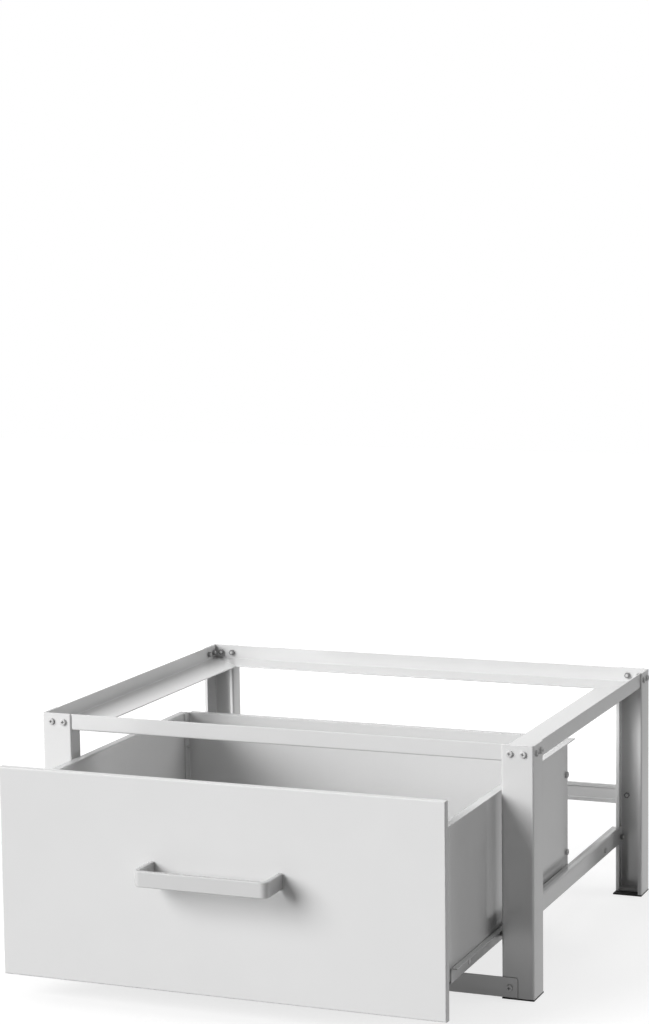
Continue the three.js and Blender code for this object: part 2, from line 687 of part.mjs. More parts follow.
add('drawer_front', 'front', drawerFront());
addPair('drawer_side', 'box', drawerSide());
add('drawer_back', 'box', drawerBackPanel());
add('drawer_floor', 'box', drawerFloor());
addPair('drawer_runner', 'box', drawerRunner());
addPair('runner_roller', 'nylon', drawerRoller());
add('handle', 'handle', handle());

// Screws through two frame sheets: rim corners, foot rail and cross rail.
const frameScrew = boltedScrew(2 * frameSheet + 3 * gap);
webScrewXs.forEach((x, i) => {
  const rear = placed(frameScrew, toFront, [x, halfDepth + gap, rimScrewZ]);
  addPair(`rim_screw_rear_${i + 1}`, 'screw', rear);
  addPair(`rim_screw_front_${i + 1}`, 'screw', mirrored(rear, 1));
});
sideScrewYs.forEach((y, i) => {
  const rear = placed(frameScrew, toLeft, [halfWidth + gap, y, rimScrewZ]);
  addPair(`rim_side_screw_rear_${i + 1}`, 'screw', rear);
  addPair(`rim_side_screw_front_${i + 1}`, 'screw', mirrored(rear, 1));
});
const tabSeat = halfDepth + frameSheet + 2 * gap;
addPair('foot_rail_screw', 'screw', placed(frameScrew, toBack, [tabScrewX, -tabSeat, footScrewZ]));
addPair('cross_rail_screw', 'screw', placed(frameScrew, toFront, [tabScrewX, tabSeat, crossScrewZ]));

// Screws through slide, leg and side rail, their flat heads inside the slide.
const slideScrew = boltedScrew(slideSheet + 2 * frameSheet + 4 * gap, [flatHeadRadius, flatHeadHeight]);
['front', 'rear'].forEach((end, i) => {
  const place = [slideInside - gap, slideScrewYs[i], slideScrewZ];
  addPair(`slide_screw_${end}`, 'screw', placed(slideScrew, toRight, place));
});

// Screws that hold the drawer's back between its sides, and the handle on its front.
const backScrew = panScrew(2 * drawerSheet + 3 * gap, nutHeight);
['lower', 'upper'].forEach((level, i) => {
  const place = [sideFace + gap, backScrewY, backScrewZs[i]];
  addPair(`back_screw_${level}`, 'screw', placed(backScrew, toLeft, place));
});
const handleScrew = panScrew(drawerSheet + 2 * gap, handleScrewDepth, handleScrewRadius);
addPair('handle_screw', 'screw', placed(handleScrew, toFront, [handleScrewX, frontInside, handleZ]));

// The origin moves to the floor under the middle of the whole open object.
const middle = new THREE.Box3().setFromObject(pedestal).getCenter(new THREE.Vector3());
pedestal.position.set(-middle.x, -middle.y, 0);

export default pedestal;
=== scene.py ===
"""A steel pedestal with a drawer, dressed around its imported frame.

Metres, X to the right, Y to the back, Z up. The sections follow the pedestal as it is bolted
together: legs, foot pads, rails, slides, drawer, rollers, handle, screws and rivets.
"""

import math

import bmesh
import bpy
from mathutils import Matrix, Vector


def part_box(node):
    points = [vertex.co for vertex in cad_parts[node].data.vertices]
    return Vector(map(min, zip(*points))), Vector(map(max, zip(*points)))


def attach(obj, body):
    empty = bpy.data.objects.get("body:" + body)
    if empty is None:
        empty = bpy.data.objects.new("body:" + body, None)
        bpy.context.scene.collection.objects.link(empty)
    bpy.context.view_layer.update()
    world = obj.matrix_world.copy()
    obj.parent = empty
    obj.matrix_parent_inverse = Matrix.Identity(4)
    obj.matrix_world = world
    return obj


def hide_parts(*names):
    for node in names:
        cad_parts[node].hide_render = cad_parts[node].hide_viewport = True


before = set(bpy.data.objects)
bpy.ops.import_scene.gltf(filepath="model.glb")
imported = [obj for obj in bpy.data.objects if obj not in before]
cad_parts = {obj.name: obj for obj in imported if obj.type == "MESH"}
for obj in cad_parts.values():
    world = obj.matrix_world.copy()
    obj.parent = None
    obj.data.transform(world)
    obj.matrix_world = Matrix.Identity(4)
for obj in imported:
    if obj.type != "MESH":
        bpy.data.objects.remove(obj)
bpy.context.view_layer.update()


# ---- Studio ------------------------------------------------------------------------------
# A long lens from the front right, and a pale sweep of paper for the floor. One big soft light
# stands up on the left, and weaker ones on the right, above and behind.

IMAGE_WIDTH_PX = 649
IMAGE_HEIGHT_PX = 1024
SENSOR_WIDTH_MM = 36
FOCAL_LENGTH_PX = 2583.86
CAMERA_PLACE = (1.17613, -2.91124, 0.92415)
CAMERA_YAW = math.radians(21.92)
CAMERA_DOWN = math.radians(6.94)
CAMERA_ROLL = math.radians(-0.75)

# Each light's name, the direction it comes from, the degrees it spans as seen from the
# pedestal, and its strength.
LIGHTS = (
    ("key_light", (-4.6, -5.7, 3.4), 38, 3.62),
    ("right_light", (3.0, 1.0, 1.5), 25, 0.64),
    ("top_light", (0.3, 0.4, 3.5), 50, 0.5),
    ("back_light", (-2.5, 4.0, 4.0), 24, 0.6),
)

WHITE = "ffffff"
SURROUNDINGS_LIT = 0.09    # strength on the pedestal
SURROUNDINGS_SEEN = 1.0    # strength for the camera and in reflections
PAPER_SIZE = 12
PAPER_DROP = 0.0002        # below the undersides of the pads
PAPER_GREY = "969696"
PAPER_ROUGHNESS = 0.9
GLOW_BY_PEDESTAL = 0.75
GLOW_FAR_OFF = 1.0
GLOW_RISES = (0.4, 2.5)    # distances from the middle between which the glow rises


def linear(hex_colour):
    """An sRGB colour such as "969696" as the linear RGBA that shaders take."""
    channels = [int(hex_colour[i:i + 2], 16) / 255 for i in (0, 2, 4)]
    return [c / 12.92 if c <= 0.04045 else ((c + 0.055) / 1.055) ** 2.4 for c in channels] + [1]


def node(tree, kind, settings=(), links=()):
    """Adds a shader node. Settings go by property or socket, links by socket name or number."""
    added = tree.nodes.new(kind)
    for name, value in dict(settings).items():
        if isinstance(name, str) and hasattr(added, name):
            setattr(added, name, value)
        else:
            added.inputs[name].default_value = value
    for name, output in dict(links).items():
        tree.links.new(output, added.inputs[name])
    return added


def straight_rays(tree, place, full_at, dim_at, dim):
    """1 for the camera's rays, 0 for rays that light, and for reflections from 1 down to dim.

    Reflections are full up to the X full_at of place, and dim from the X dim_at on: the coats
    mirror a darker studio on the right.
    """
    rays = node(tree, "ShaderNodeLightPath").outputs
    mirrored = node(tree, "ShaderNodeMath", {"operation": "MAXIMUM"},
                    {0: rays["Is Glossy Ray"], 1: rays["Is Transmission Ray"]})
    # A reflection seen by way of a matt face is light on that face, so it doesn't count.
    unscattered = node(tree, "ShaderNodeMath", {"operation": "LESS_THAN", 1: 0.5},
                       {0: rays["Diffuse Depth"]})
    clear = node(tree, "ShaderNodeMath", {"operation": "MULTIPLY"},
                 {0: mirrored.outputs[0], 1: unscattered.outputs[0]})
    sideways = node(tree, "ShaderNodeSeparateXYZ", links={"Vector": place})
    share = node(tree, "ShaderNodeMapRange",
                 {"From Min": full_at, "From Max": dim_at, "To Min": 1.0, "To Max": dim},
                 {"Value": sideways.outputs["X"]})
    dimmed = node(tree, "ShaderNodeMath", {"operation": "MULTIPLY"},
                  {0: clear.outputs[0], 1: share.outputs[0]})
    straight = node(tree, "ShaderNodeMath", {"operation": "MAXIMUM"},
                    {0: rays["Is Camera Ray"], 1: dimmed.outputs[0]})
    return straight.outputs[0]


camera = bpy.data.objects.new("camera", bpy.data.cameras.new("camera"))
bpy.context.scene.collection.objects.link(camera)
camera.data.sensor_width = SENSOR_WIDTH_MM
camera.data.lens = FOCAL_LENGTH_PX * SENSOR_WIDTH_MM / max(IMAGE_WIDTH_PX, IMAGE_HEIGHT_PX)
camera_aim = Matrix.Rotation(CAMERA_YAW, 4, "Z") @ Matrix.Rotation(math.pi / 2 - CAMERA_DOWN, 4, "X")
camera_roll = Matrix.Rotation(CAMERA_ROLL, 4, "Z")
camera.matrix_world = Matrix.Translation(CAMERA_PLACE) @ camera_aim @ camera_roll
bpy.context.scene.camera = camera

for light_name, direction, degrees, strength in LIGHTS:
    light = bpy.data.objects.new(light_name, bpy.data.lights.new(light_name, "SUN"))
    bpy.context.scene.collection.objects.link(light)
    light.data.angle = math.radians(degrees)
    light.data.energy = strength
    # A lamp that showed in the semi-gloss coats would burn out the faces that mirror it.
    light.visible_glossy = False
    light.location = direction
    light.rotation_euler = (-Vector(direction)).to_track_quat("-Z", "Y").to_euler()

world = bpy.data.worlds.new("studio")
world.use_nodes = True
world_tree = world.node_tree
world_tree.nodes.clear()
world_straight = straight_rays(world_tree, node(world_tree, "ShaderNodeTexCoord").outputs["Generated"],
                               full_at=-0.1, dim_at=0.4, dim=0.3)
world_strength = node(world_tree, "ShaderNodeMapRange",
                      {"To Min": SURROUNDINGS_LIT, "To Max": SURROUNDINGS_SEEN},
                      {"Value": world_straight})
surroundings = node(world_tree, "ShaderNodeBackground", {"Color": linear(WHITE)},
                    {"Strength": world_strength.outputs[0]})
node(world_tree, "ShaderNodeOutputWorld", links={"Surface": surroundings.outputs[0]})
bpy.context.scene.world = world
bpy.context.scene.view_settings.view_transform = "Standard"

# Matt white paper. It glows for the camera and in reflections alone: a little by the pedestal,
# so that the shadow stays, and to full white further off.
bpy.ops.mesh.primitive_plane_add(size=PAPER_SIZE, location=(0, 0, -PAPER_DROP))
floor = bpy.context.object
floor.name = "paper_sweep"
paper = bpy.data.materials.new("white_paper")
paper.use_nodes = True
paper_tree = paper.node_tree
paper_skin = paper_tree.nodes["Principled BSDF"]
paper_skin.inputs["Base Color"].default_value = linear(PAPER_GREY)
paper_skin.inputs["Roughness"].default_value = PAPER_ROUGHNESS
paper_skin.inputs["Emission Color"].default_value = linear(WHITE)
paper_place = node(paper_tree, "ShaderNodeTexCoord").outputs["Object"]
from_middle = node(paper_tree, "ShaderNodeVectorMath", {"operation": "LENGTH"}, {"Vector": paper_place})
glow = node(paper_tree, "ShaderNodeMapRange",
            {"From Min": GLOW_RISES[0], "From Max": GLOW_RISES[1],
             "To Min": GLOW_BY_PEDESTAL, "To Max": GLOW_FAR_OFF},
            {"Value": from_middle.outputs["Value"]})
paper_straight = straight_rays(paper_tree, paper_place, full_at=0.2, dim_at=0.7, dim=0.2)
seen_glow = node(paper_tree, "ShaderNodeMath", {"operation": "MULTIPLY"},
                 {0: glow.outputs[0], 1: paper_straight})
paper_tree.links.new(seen_glow.outputs[0], paper_skin.inputs["Emission Strength"])
floor.data.materials.append(paper)


# ---- Legs --------------------------------------------------------------------------------
# Lipped channels of 1.5 mm cold-rolled sheet, pressed to shape and powder-coated before the
# pedestal is bolted together. The coat rounds every cut edge.

SIDES = ("left", "right")
ENDS = ("front", "rear")
CUT_EDGE = 0.00028                    # radius that the coat gives a cut edge
EDGE_SEGMENTS = 2
SHARP_ANGLE = math.radians(50)        # a fold steeper than this is a cut edge
SAME_PLANE = math.radians(1)          # faces that differ by less become one
SAME_PLACE = 1e-6                     # corners nearer than this become one
COAT_IOR = 1.5
PATCH_MM = 60                         # patches where the coat lies a shade thicker
PATCH_NOISE = (0.3, 0.7)              # noise between which the shade goes from full to none
PATCH_SHADE = 0.985
PEEL_MM = 2.2                         # orange peel: real crests are about 1 mm apart
PEEL_DEPTH_MM = 0.002
PEEL_ROUGHNESS = 0.02                 # how far the peel moves the roughness either way


def semi_gloss(name, colour, metal, roughness):
    """A baked or moulded skin, smooth and a little uneven: powder coat, lacquer or bare nylon.

    metal is the share of it that fine metal flakes cover. They give it a soft, greyish sheen.
    """
    material = bpy.data.materials.new(name)
    material.use_nodes = True
    tree = material.node_tree
    skin = tree.nodes["Principled BSDF"]
    skin.inputs["IOR"].default_value = COAT_IOR
    skin.inputs["Metallic"].default_value = metal
    place = node(tree, "ShaderNodeTexCoord").outputs["Object"]
    patches = node(tree, "ShaderNodeTexNoise", {"Scale": 1000 / PATCH_MM, "Detail": 2.0}, {"Vector": place})
    shade = node(tree, "ShaderNodeMapRange",
                 {"From Min": PATCH_NOISE[0], "From Max": PATCH_NOISE[1],
                  "To Min": PATCH_SHADE, "To Max": 1.0},
                 {"Value": patches.outputs["Fac"]})
    tint = node(tree, "ShaderNodeMix",
                {"data_type": "RGBA", "blend_type": "MULTIPLY", 0: 1.0, 6: linear(colour)},
                {7: shade.outputs[0]})
    tree.links.new(tint.outputs[2], skin.inputs["Base Color"])
    # The peel is drawn about twice as coarse as it is, so that it shows.
    peel = node(tree, "ShaderNodeTexNoise", {"Scale": 1000 / PEEL_MM, "Detail": 1.0}, {"Vector": place})
    gloss = node(tree, "ShaderNodeMapRange",
                 {"To Min": roughness - PEEL_ROUGHNESS, "To Max": roughness + PEEL_ROUGHNESS},
                 {"Value": peel.outputs["Fac"]})
    tree.links.new(gloss.outputs[0], skin.inputs["Roughness"])
    relief = node(tree, "ShaderNodeBump", {"Strength": 1.0, "Distance": PEEL_DEPTH_MM / 1000},
                  {"Height": peel.outputs["Fac"]})
    tree.links.new(relief.outputs[0], skin.inputs["Normal"])
    return material


def pressed_piece(cad_node, name, body, material, edge=CUT_EDGE):
    """Stands for a CAD node: the same folded sheet, with eased edges and smooth bends."""
    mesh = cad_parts[cad_node].data.copy()
    mesh.name = name
    shape = bmesh.new()
    shape.from_mesh(mesh)
    bmesh.ops.remove_doubles(shape, verts=shape.verts, dist=SAME_PLACE)
    bmesh.ops.dissolve_limit(shape, angle_limit=SAME_PLANE, verts=shape.verts, edges=shape.edges)
    for face in shape.faces:
        face.smooth = True
    shape.to_mesh(mesh)
    shape.free()
    mesh.materials.clear()
    mesh.materials.append(material)
    piece = bpy.data.objects.new(name, mesh)
    bpy.context.scene.collection.objects.link(piece)
    eased = piece.modifiers.new("eased_edges", "BEVEL")
    eased.width = edge
    eased.segments = EDGE_SEGMENTS
    eased.limit_method = "ANGLE"
    eased.angle_limit = SHARP_ANGLE
    flats = piece.modifiers.new("flat_faces", "WEIGHTED_NORMAL")
    flats.keep_sharp = True
    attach(piece, body)
    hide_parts(cad_node)


# Polyester powder with a little metal flake: a pale grey that mirrors softly at a low angle.
frame_coat = semi_gloss("powder_coated_frame_steel", "e2e2e2", metal=0.12, roughness=0.2)
for end in ENDS:
    for side in SIDES:
        pressed_piece(f"leg_{end}_{side}", f"leg_channel_{end}_{side}", "frame", frame_coat)


# ---- Foot pads ---------------------------------------------------------------------------
# Black rubber sheet, cut to the foot and glued on. It is matt, with a fine cloth grain from
# the press, and talc from the mould greys it in patches.

PAD_EDGE = 0.0004
RUBBER_BLACK = "363636"
TALC_GREY = "464646"
TALC_MM = 8
TALC_ROUGHNESS = (0.75, 0.9)
CLOTH_MM = 0.9
CLOTH_DEPTH_MM = 0.04

# Flat black to the eye, with no gloss at any angle.
rubber = bpy.data.materials.new("black_rubber_sheet")
rubber.use_nodes = True
rubber_tree = rubber.node_tree
rubber_skin = rubber_tree.nodes["Principled BSDF"]
rubber_place = node(rubber_tree, "ShaderNodeTexCoord").outputs["Object"]
talc = node(rubber_tree, "ShaderNodeTexNoise", {"Scale": 1000 / TALC_MM, "Detail": 3.0},
            {"Vector": rubber_place})
rubber_tint = node(rubber_tree, "ShaderNodeMix",
                   {"data_type": "RGBA", 6: linear(RUBBER_BLACK), 7: linear(TALC_GREY)},
                   {0: talc.outputs["Fac"]})
rubber_tree.links.new(rubber_tint.outputs[2], rubber_skin.inputs["Base Color"])
rubber_matt = node(rubber_tree, "ShaderNodeMapRange",
                   {"To Min": TALC_ROUGHNESS[0], "To Max": TALC_ROUGHNESS[1]},
                   {"Value": talc.outputs["Fac"]})
rubber_tree.links.new(rubber_matt.outputs[0], rubber_skin.inputs["Roughness"])
cloth = node(rubber_tree, "ShaderNodeTexNoise", {"Scale": 1000 / CLOTH_MM, "Detail": 3.0},
             {"Vector": rubber_place})
cloth_relief = node(rubber_tree, "ShaderNodeBump", {"Strength": 1.0, "Distance": CLOTH_DEPTH_MM / 1000},
                    {"Height": cloth.outputs["Fac"]})
rubber_tree.links.new(cloth_relief.outputs[0], rubber_skin.inputs["Normal"])
for end in ENDS:
    for side in SIDES:
        pressed_piece(f"foot_pad_{end}_{side}", f"rubber_pad_{end}_{side}", "frame", rubber,
                      edge=PAD_EDGE)


# ---- Rails -------------------------------------------------------------------------------
# Angles and strips of the same coated sheet. The rim's angles carry the load on a ledge and
# stand around it, and the side rails run inside the legs' channels and carry the slides.

for rail in ("rim_rail_front", "rim_rail_rear", "rim_rail_left", "rim_rail_right",
             "foot_rail_front", "cross_rail_rear", "side_rail_left", "side_rail_right"):
    pressed_piece(rail, rail.replace("rail", "angle"), "frame", frame_coat)


# ---- Slides ------------------------------------------------------------------------------
# Roller slides of 1.2 mm sheet, coated like the frame: a channel on each side rail, and a
# runner that is riveted under each side of the drawer.

# The same kind of powder, a shade darker and just as smooth: the slides come ready made.
slide_coat = semi_gloss("powder_coated_slide_steel", "cdcdcd", metal=0.12, roughness=0.2)
for side in SIDES:
    pressed_piece(f"slide_{side}", f"slide_channel_{side}", "frame", slide_coat)
    pressed_piece(f"drawer_runner_{side}", f"roller_runner_{side}", "drawer", slide_coat)


# ---- Drawer ------------------------------------------------------------------------------
# A tray of 1.2 mm coated sheet: a pan for its front, two sides with their lips turned out, a
# back screwed between them and a loose bottom plate.

# The front's powder has no flake. It is even and almost matt, and mirrors nothing.
front_coat = semi_gloss("powder_coated_drawer_front", "dddddd", metal=0.0, roughness=0.4)
# The tray's is glossier, so its walls shade from light to dark along their length.
tray_coat = semi_gloss("powder_coated_drawer_tray", "dfdfdf", metal=0.09, roughness=0.16)
pressed_piece("drawer_front", "front_pan", "drawer", front_coat)
for side in SIDES:
    pressed_piece(f"drawer_side_{side}", f"tray_side_{side}", "drawer", tray_coat)
pressed_piece("drawer_back", "tray_back", "drawer", tray_coat)
pressed_piece("drawer_floor", "tray_bottom", "drawer", tray_coat)


# ---- Rollers -----------------------------------------------------------------------------
# Wheels moulded in natural nylon, with a hub, a thinner web and a slightly crowned tread. Each
# turns on an axle whose flat head lies in a recess of the hub.

TO_RIGHT, TO_LEFT = (1, 0, 0), (-1, 0, 0)
TO_BACK, TO_FRONT = (0, 1, 0), (0, -1, 0)
CREASE_ANGLE = math.radians(40)
ON_AXIS = 1e-7
WHEEL_SIDES = 64
# Radius and height, from the bore over the plain face, the tread and the recessed face.
WHEEL_PROFILE_MM = (
    (2.3, 0.2), (2.5, 0.0), (4.9, 0.0), (5.1, 0.5), (6.5, 0.5), (6.7, 0.0), (7.5, 0.0),
    (7.95, 0.12), (8.3, 0.42), (8.42, 0.9), (8.48, 2.2), (8.5, 3.6), (8.48, 5.0), (8.42, 6.3),
    (8.3, 6.78), (7.95, 7.08), (7.5, 7.2), (6.9, 7.2), (6.7, 6.6), (5.4, 6.6), (5.2, 7.2),
    (4.4, 7.2), (4.2, 7.05), (4.2, 5.8), (2.5, 5.8), (2.3, 5.6), (2.3, 0.2))


def turned(shape, profile, sides):
    """A solid of revolution about Z. The profile runs from the axis, or a bore, round to it again."""
    rings = []
    for radius, height in profile:
        if radius < ON_AXIS:
            rings.append([shape.verts.new((0, 0, height))])
            continue
        rings.append([shape.verts.new((radius * math.cos(2 * math.pi * i / sides),
                                       radius * math.sin(2 * math.pi * i / sides), height))
                      for i in range(sides)])
    for ring, following in zip(rings, rings[1:]):
        for i in range(sides):
            j = (i + 1) % sides
            corners = [ring[i % len(ring)], ring[j % len(ring)],
                       following[j % len(following)], following[i % len(following)]]
            shape.faces.new(list(dict.fromkeys(corners))).smooth = True


def face_middle(cad_node, up):
    """The middle of that face of a CAD node's box that up points out of."""
    low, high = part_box(cad_node)
    return Vector([far if way > 0 else near if way < 0 else (near + far) / 2
                   for way, near, far in zip(up, low, high)])


def turned_piece(cad_node, name, mesh, up, body, spin=0.0):
    """Stands for a CAD node: a copy of a mesh about Z, stood along up with its top at the node's."""
    top = face_middle(cad_node, up)
    up = Vector(up)
    piece = bpy.data.objects.new(name, mesh.copy())
    bpy.context.scene.collection.objects.link(piece)
    stand = up.to_track_quat("Z", "Y").to_matrix().to_4x4() @ Matrix.Rotation(spin, 4, "Z")
    piece.data.transform(Matrix.Translation(top - up * max(v.co.z for v in mesh.vertices)) @ stand)
    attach(piece, body)
    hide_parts(cad_node)


# Milky and warm against the grey sheet, with a dull sheen.
nylon = semi_gloss("natural_nylon_moulding", "f1f0ec", metal=0.0, roughness=0.45)
wheel_shape = bmesh.new()
turned(wheel_shape, [(radius / 1000, height / 1000) for radius, height in WHEEL_PROFILE_MM], WHEEL_SIDES)
bmesh.ops.remove_doubles(wheel_shape, verts=wheel_shape.verts, dist=ON_AXIS)
bmesh.ops.recalc_face_normals(wheel_shape, faces=wheel_shape.faces)
wheel = bpy.data.meshes.new("nylon_wheel")
wheel_shape.to_mesh(wheel)
wheel_shape.free()
wheel.set_sharp_from_angle(angle=CREASE_ANGLE)
wheel.materials.append(nylon)
for side, inwards, outwards in (("left", TO_RIGHT, TO_LEFT), ("right", TO_LEFT, TO_RIGHT)):
    for member, recess_side in (("slide", inwards), ("runner", outwards)):
        roller = f"{member}_roller_{side}"
        turned_piece(roller, f"nylon_{member}_wheel_{side}", wheel, recess_side, roller)


# ---- Handle ------------------------------------------------------------------------------
# A flat bow of die-cast zinc, lacquered silver grey. Its two feet stand flat on the front, and
# a screw from inside holds each.

HANDLE_CORNER = 0.009
HANDLE_THICKNESS = 0.006
HANDLE_EDGE = 0.0016
CORNER_STEPS = 14
EDGE_STEPS = 5


def rounded_section(across, upright, radius, steps):
    """The handle's cross-section: a rectangle about (0, 0) with rounded corners."""
    points = []
    for turn, (right, up) in enumerate(((1, 1), (-1, 1), (-1, -1), (1, -1))):
        for step in range(steps + 1):
            angle = (turn + step / steps) * math.pi / 2
            points.append((right * (across / 2 - radius) + radius * math.cos(angle),
                           up * (upright / 2 - radius) + radius * math.sin(angle)))
    return points


def bow_handle(name, low, high):
    """Sweeps the section along the bow, from one foot to the other, and closes both feet."""
    middle_x, half = (low.x + high.x) / 2, (high.x - low.x) / 2 - HANDLE_THICKNESS / 2
    front, foot = low.y + HANDLE_THICKNESS / 2, high.y
    bend = HANDLE_CORNER - HANDLE_THICKNESS / 2
    path = [(Vector((middle_x - half, foot)), Vector((-1, 0)))]
    for step in range(CORNER_STEPS + 1):
        angle = math.pi + step / CORNER_STEPS * math.pi / 2
        outward = Vector((math.cos(angle), math.sin(angle)))
        path.append((Vector((middle_x - half + bend, front + bend)) + outward * bend, outward))
    path += [(Vector((2 * middle_x - place.x, place.y)), Vector((-outward.x, outward.y)))
             for place, outward in reversed(path)]
    section = rounded_section(HANDLE_THICKNESS, high.z - low.z, HANDLE_EDGE, EDGE_STEPS)
    bow = bmesh.new()
    rings = [[bow.verts.new((place.x + outward.x * across, place.y + outward.y * across,
                             (low.z + high.z) / 2 + up)) for across, up in section]
             for place, outward in path]
    for ring, following in zip(rings, rings[1:]):
        for i in range(len(section)):
            j = (i + 1) % len(section)
            bow.faces.new((ring[i], ring[j], following[j], following[i])).smooth = True
    bow.faces.new(rings[0])
    bow.faces.new(reversed(rings[-1]))
    bmesh.ops.recalc_face_normals(bow, faces=bow.faces)
    mesh = bpy.data.meshes.new(name)
    bow.to_mesh(mesh)
    bow.free()
    made = bpy.data.objects.new(name, mesh)
    bpy.context.scene.collection.objects.link(made)
    flats = made.modifiers.new("flat_faces", "WEIGHTED_NORMAL")
    flats.keep_sharp = True
    return made


# Darker than the sheet, with the sheen of the zinc through a clear, satin lacquer.
handle_lacquer = semi_gloss("lacquered_zinc_casting", "cbcbcb", metal=0.15, roughness=0.22)
handle = bow_handle("bow_handle", *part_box("handle"))
handle.data.materials.append(handle_lacquer)
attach(handle, "drawer")
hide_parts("handle")


# ---- Screws ------------------------------------------------------------------------------
# M4 pan-head screws with a cross recess, cold-formed and dipped in a satin zinc-flake coating,
# most with a hex nut drawn up behind the sheets. Rolled threads show past the nuts.

SCREW_RADIUS = 0.002
SCREW_SIDES = 32
HEAD_RADIUS = 0.004
HEAD_HEIGHT = 0.0024
FLAT_HEAD_RADIUS = 0.0032
FLAT_HEAD_HEIGHT = 0.0014
# Shares of the head's radius and height, from its crown out to its side.
HEAD_PROFILE = ((0, 1), (0.6, 0.99), (0.8, 0.96), (0.92, 0.87), (0.985, 0.7), (1, 0.5))
SEAT_EDGE = 0.00005
NECK = 0.0006                         # plain shank under the head
RECESS_REACH = 0.6                    # of the head's radius
RECESS_WIDTH = 0.001
# Level, reach and half width of the cross, as shares: at its mouth, above the crown, and at its
# floor.
RECESS_MOUTH = (1.3, 1, 0.5)
RECESS_FLOOR = (0.28, 0.42, 0.36)
THREAD_PITCH = 0.0007
THREAD_DEPTH = 0.00022
THREAD_TOP = -0.0004
THREAD_CREST = (0.4, 0.55)            # of each pitch, where the crest starts and ends
THREAD_ROOT = 0.95
SHANK_TOP = -0.0002
TIP_CHAMFER = (0.0002, 0.0001)
NUT_RADIUS = 0.004
NUT_HEIGHT = 0.003
NUT_CHAMFER = (NUT_RADIUS * 0.13, 0.0004)
CUT_MARGIN = 0.0001                   # by which the chamfering cone clears the nut
PAST_NUT = 0.001
FRAME_GRIP = 0.0039
SLIDE_GRIP = 0.0054
BACK_SCREW_LENGTH = 0.0063
HANDLE_SCREW_LENGTH = 0.0138
CLOUD_MM = 1.5
SPIN_STEP = 37                        # degrees from one screw's cross to the next one's
SPIN_REACH = 11                       # degrees that a cross may stand off the square, either way


def zinc_flake(name, dark, light, metal, roughness):
    """Zinc flake baked in a clear binder: satin, and cloudy from dark to light."""
    material = bpy.data.materials.new(name)
    material.use_nodes = True
    tree = material.node_tree
    skin = tree.nodes["Principled BSDF"]
    skin.inputs["Metallic"].default_value = metal
    place = node(tree, "ShaderNodeTexCoord").outputs["Object"]
    cloud = node(tree, "ShaderNodeTexNoise", {"Scale": 1000 / CLOUD_MM, "Detail": 2.0}, {"Vector": place})
    tint = node(tree, "ShaderNodeMix", {"data_type": "RGBA", 6: linear(dark), 7: linear(light)},
                {0: cloud.outputs["Fac"]})
    tree.links.new(tint.outputs[2], skin.inputs["Base Color"])
    gloss = node(tree, "ShaderNodeMapRange", {"To Min": roughness[0], "To Max": roughness[1]},
                 {"Value": cloud.outputs["Fac"]})
    tree.links.new(gloss.outputs[0], skin.inputs["Roughness"])
    return material


# Nearly as pale as the sheets' coat, so that a head shows by its edge and its cross.
zinc = zinc_flake("zinc_flake_coating", "d0d0d0", "dcdcdc", metal=0.2, roughness=(0.38, 0.5))
# Painted shade: a darker zinc in the cross and on the nuts stands for the shade in the recess and round
# each nut. It is duller there too.
shade_painted_zinc = zinc_flake("zinc_flake_painted_shade", "8a8a8a", "9a9a9a", metal=0.2, roughness=(0.6, 0.75))
PAINTED_SHADE_SLOT = 1                            # its number among a screw's materials


def solid_mesh(name, shape, cutter=None, operation="DIFFERENCE"):
    """The mesh of a bmesh solid, after an exact cut by a second one."""
    mesh = bpy.data.meshes.new(name)
    bmesh.ops.recalc_face_normals(shape, faces=shape.faces)
    shape.to_mesh(mesh)
    shape.free()
    for finish in (zinc, shade_painted_zinc):
        mesh.materials.append(finish)
    if cutter is None:
        return mesh
    blank = bpy.data.objects.new(name, mesh)
    tool_mesh = solid_mesh(name + "_tool", cutter)
    tool = bpy.data.objects.new(name + "_tool", tool_mesh)
    for made in (blank, tool):
        bpy.context.scene.collection.objects.link(made)
    cut = blank.modifiers.new("cut", "BOOLEAN")
    cut.operation = operation
    cut.solver = "EXACT"
    cut.object = tool
    result = bpy.data.meshes.new_from_object(blank.evaluated_get(bpy.context.evaluated_depsgraph_get()))
    for made in (blank, tool):
        bpy.data.objects.remove(made)
    bpy.data.meshes.remove(tool_mesh)
    return result


def cross_recess(radius, height):
    """A cutter for a tapered cross in a head whose crown is at this height."""
    shape = bmesh.new()
    rims = []
    for level_share, reach_share, half_share in (RECESS_MOUTH, RECESS_FLOOR):
        level, reach, half = height * level_share, radius * reach_share, RECESS_WIDTH * half_share
        corners = []
        for turn in range(4):
            angle = turn * math.pi / 2
            for along, across in ((reach, -half), (reach, half), (half, half)):
                corners.append(shape.verts.new((along * math.cos(angle) - across * math.sin(angle),
                                                along * math.sin(angle) + across * math.cos(angle), level)))
        rims.append(corners)
    for i in range(len(corners)):
        j = (i + 1) % len(corners)
        shape.faces.new((rims[0][i], rims[0][j], rims[1][j], rims[1][i]))
    for rim in rims:
        shape.faces.new(rim)
    # The cutter's faces carry the darker zinc into the cross: painted shade.
    for face in shape.faces:
        face.material_index = PAINTED_SHADE_SLOT
    return shape


def head_mesh(name, radius, height):
    """A pan head with its seat at zero, a neck under it, and a cross in its crown."""
    shape = bmesh.new()
    crown = [(radius * across, height * up) for across, up in HEAD_PROFILE]
    seat = [(radius, SEAT_EDGE), (radius - SEAT_EDGE, 0), (SCREW_RADIUS, 0)]
    turned(shape, [*crown, *seat, (SCREW_RADIUS, -NECK), (0, -NECK)], SCREW_SIDES)
    return solid_mesh(name, shape, cross_recess(radius * RECESS_REACH, height))


